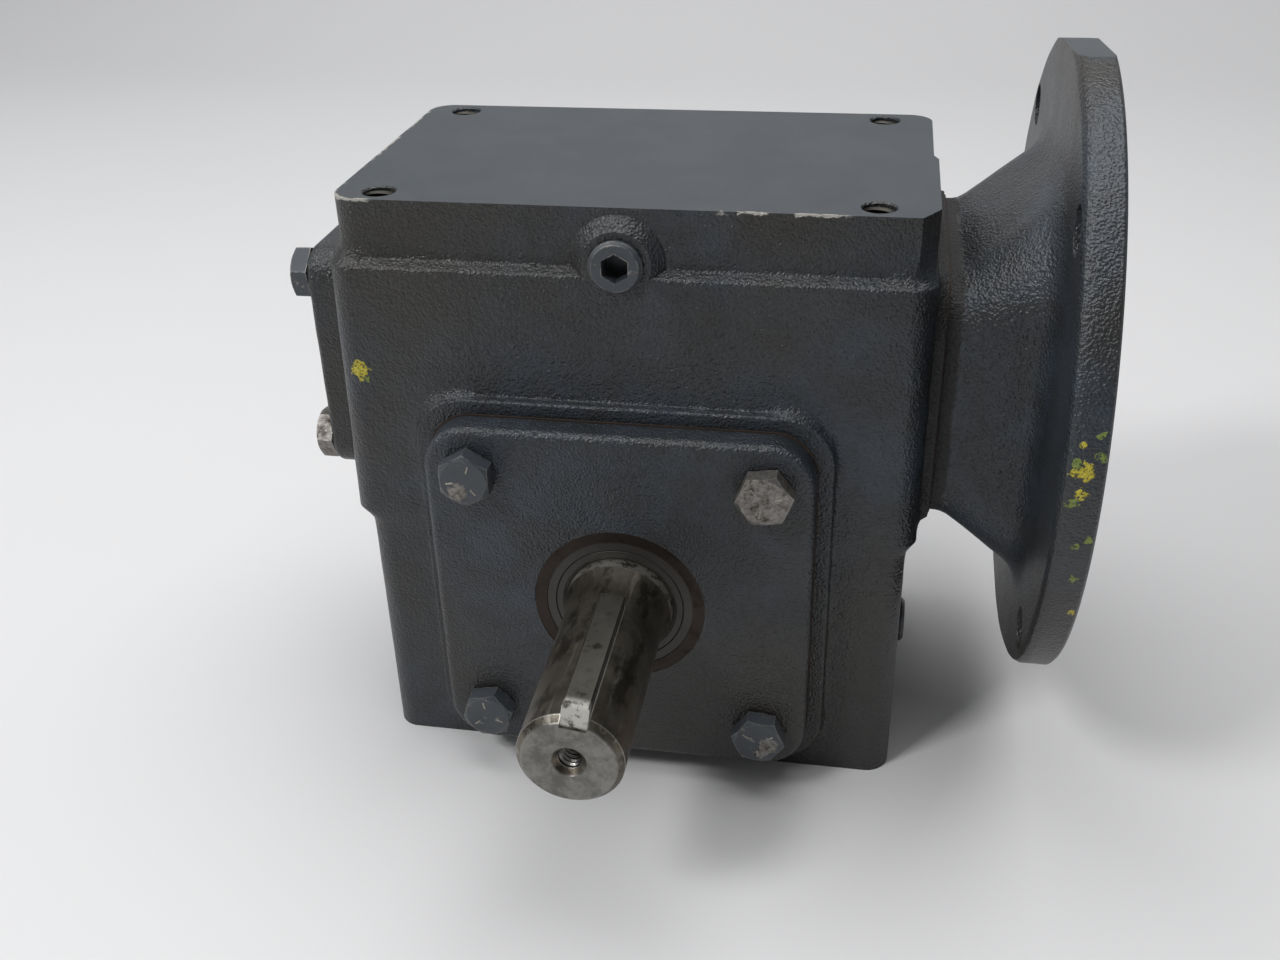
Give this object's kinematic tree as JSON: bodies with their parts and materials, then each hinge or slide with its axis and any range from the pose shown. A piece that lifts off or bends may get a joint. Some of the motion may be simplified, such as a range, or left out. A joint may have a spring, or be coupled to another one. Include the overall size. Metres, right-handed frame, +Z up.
{
  "type": "worm gearbox",
  "caption": "Right-angle worm gear reducer with a keyed output shaft, a hollow keyed input shaft and a round motor flange.",
  "frame": {"origin": "on the base mounting face, below the point where the worm's and the output shaft's centre planes cross", "axes": "+X along the worm towards the motor flange, -Y out along the output shaft, +Z up from the base"},
  "size_m": [0.2029, 0.2015, 0.1922],
  "materials": {
    "painted_casting": "blue-grey machinery enamel over cast iron, oily, chipped at the edges",
    "screws": "oil-blackened steel with paint on it",
    "gasket": "compressed fibre",
    "plugs": "painted steel",
    "seal_metal": "rust-tinted pressed steel",
    "seal_rubber": "nitrile rubber",
    "shaft_steel": "ground steel with a dark oil film",
    "key_steel": "bright key steel, stained",
    "bronze": "machined gear bronze",
    "hub_iron": "machined cast iron",
    "cage_brass": "machined",
    "bearing_steel": "ground bearing steel",
    "spring_steel": "blackened spring steel"
  },
  "bodies": {
    "case": {"housing": "painted_casting", "output_cover": "painted_casting", "output_cover_gasket": "gasket", "output_cover_screws": "screws", "output_seal_case": "seal_metal", "output_seal_lip": "seal_rubber", "output_front_bearing_outer": "bearing_steel", "output_rear_bearing_outer": "bearing_steel", "rear_bore_plug": "painted_casting", "worm_end_cap": "painted_casting", "worm_end_cap_gasket": "gasket", "worm_end_cap_screws": "screws", "motor_flange": "painted_casting", "motor_flange_gasket": "gasket", "motor_flange_screws": "screws", "input_seal_case": "seal_metal", "input_seal_lip": "seal_rubber", "worm_left_bearing_outer": "bearing_steel", "worm_right_bearing_outer": "bearing_steel", "fill_plug": "plugs", "drain_plug": "plugs", "level_plug": "plugs"},
    "output": {"output_shaft": "shaft_steel", "output_key": "key_steel", "worm_wheel_rim": "bronze", "worm_wheel_hub": "hub_iron", "wheel_key": "key_steel", "output_spacer": "shaft_steel", "output_retaining_ring": "spring_steel", "output_front_bearing_inner": "bearing_steel", "output_rear_bearing_inner": "bearing_steel"},
    "worm": {"worm_shaft": "shaft_steel", "worm_left_bearing_inner": "bearing_steel", "worm_right_bearing_inner": "bearing_steel", "worm_left_retaining_ring": "spring_steel", "worm_right_retaining_ring": "spring_steel"},
    "worm_left_bearing_cage_set": {"worm_left_bearing_balls": "bearing_steel", "worm_left_bearing_cage": "cage_brass"},
    "worm_right_bearing_cage_set": {"worm_right_bearing_balls": "bearing_steel", "worm_right_bearing_cage": "cage_brass"},
    "output_front_bearing_cage_set": {"output_front_bearing_balls": "bearing_steel", "output_front_bearing_cage": "cage_brass"},
    "output_rear_bearing_cage_set": {"output_rear_bearing_balls": "bearing_steel", "output_rear_bearing_cage": "cage_brass"}
  },
  "joints": [
    {"name": "output_spin", "type": "hinge", "parent": "case", "child": "output", "pos_m": [0, 0, 0.0587], "axis": [0, 1, 0], "continuous": true},
    {"name": "worm_spin", "type": "hinge", "parent": "case", "child": "worm", "pos_m": [0, 0, 0.11109], "axis": [1, 0, 0], "continuous": true},
    {"name": "worm_left_bearing_cage_spin", "type": "hinge", "parent": "case", "child": "worm_left_bearing_cage_set", "pos_m": [-0.0675, 0, 0.11109], "axis": [1, 0, 0], "continuous": true},
    {"name": "worm_right_bearing_cage_spin", "type": "hinge", "parent": "case", "child": "worm_right_bearing_cage_set", "pos_m": [0.07, 0, 0.11109], "axis": [1, 0, 0], "continuous": true},
    {"name": "output_front_bearing_cage_spin", "type": "hinge", "parent": "case", "child": "output_front_bearing_cage_set", "pos_m": [0, -0.044, 0.0587], "axis": [0, 1, 0], "continuous": true},
    {"name": "output_rear_bearing_cage_spin", "type": "hinge", "parent": "case", "child": "output_rear_bearing_cage_set", "pos_m": [0, 0.0375, 0.0587], "axis": [0, 1, 0], "continuous": true}
  ],
  "couplings": [
    {"joint": "worm_spin", "follows": "output_spin", "ratio": -30},
    {"joint": "worm_left_bearing_cage_spin", "follows": "output_spin", "ratio": -11.445},
    {"joint": "worm_right_bearing_cage_spin", "follows": "output_spin", "ratio": -11.906},
    {"joint": "output_front_bearing_cage_spin", "follows": "output_spin", "ratio": 0.416},
    {"joint": "output_rear_bearing_cage_spin", "follows": "output_spin", "ratio": 0.416}
  ]
}
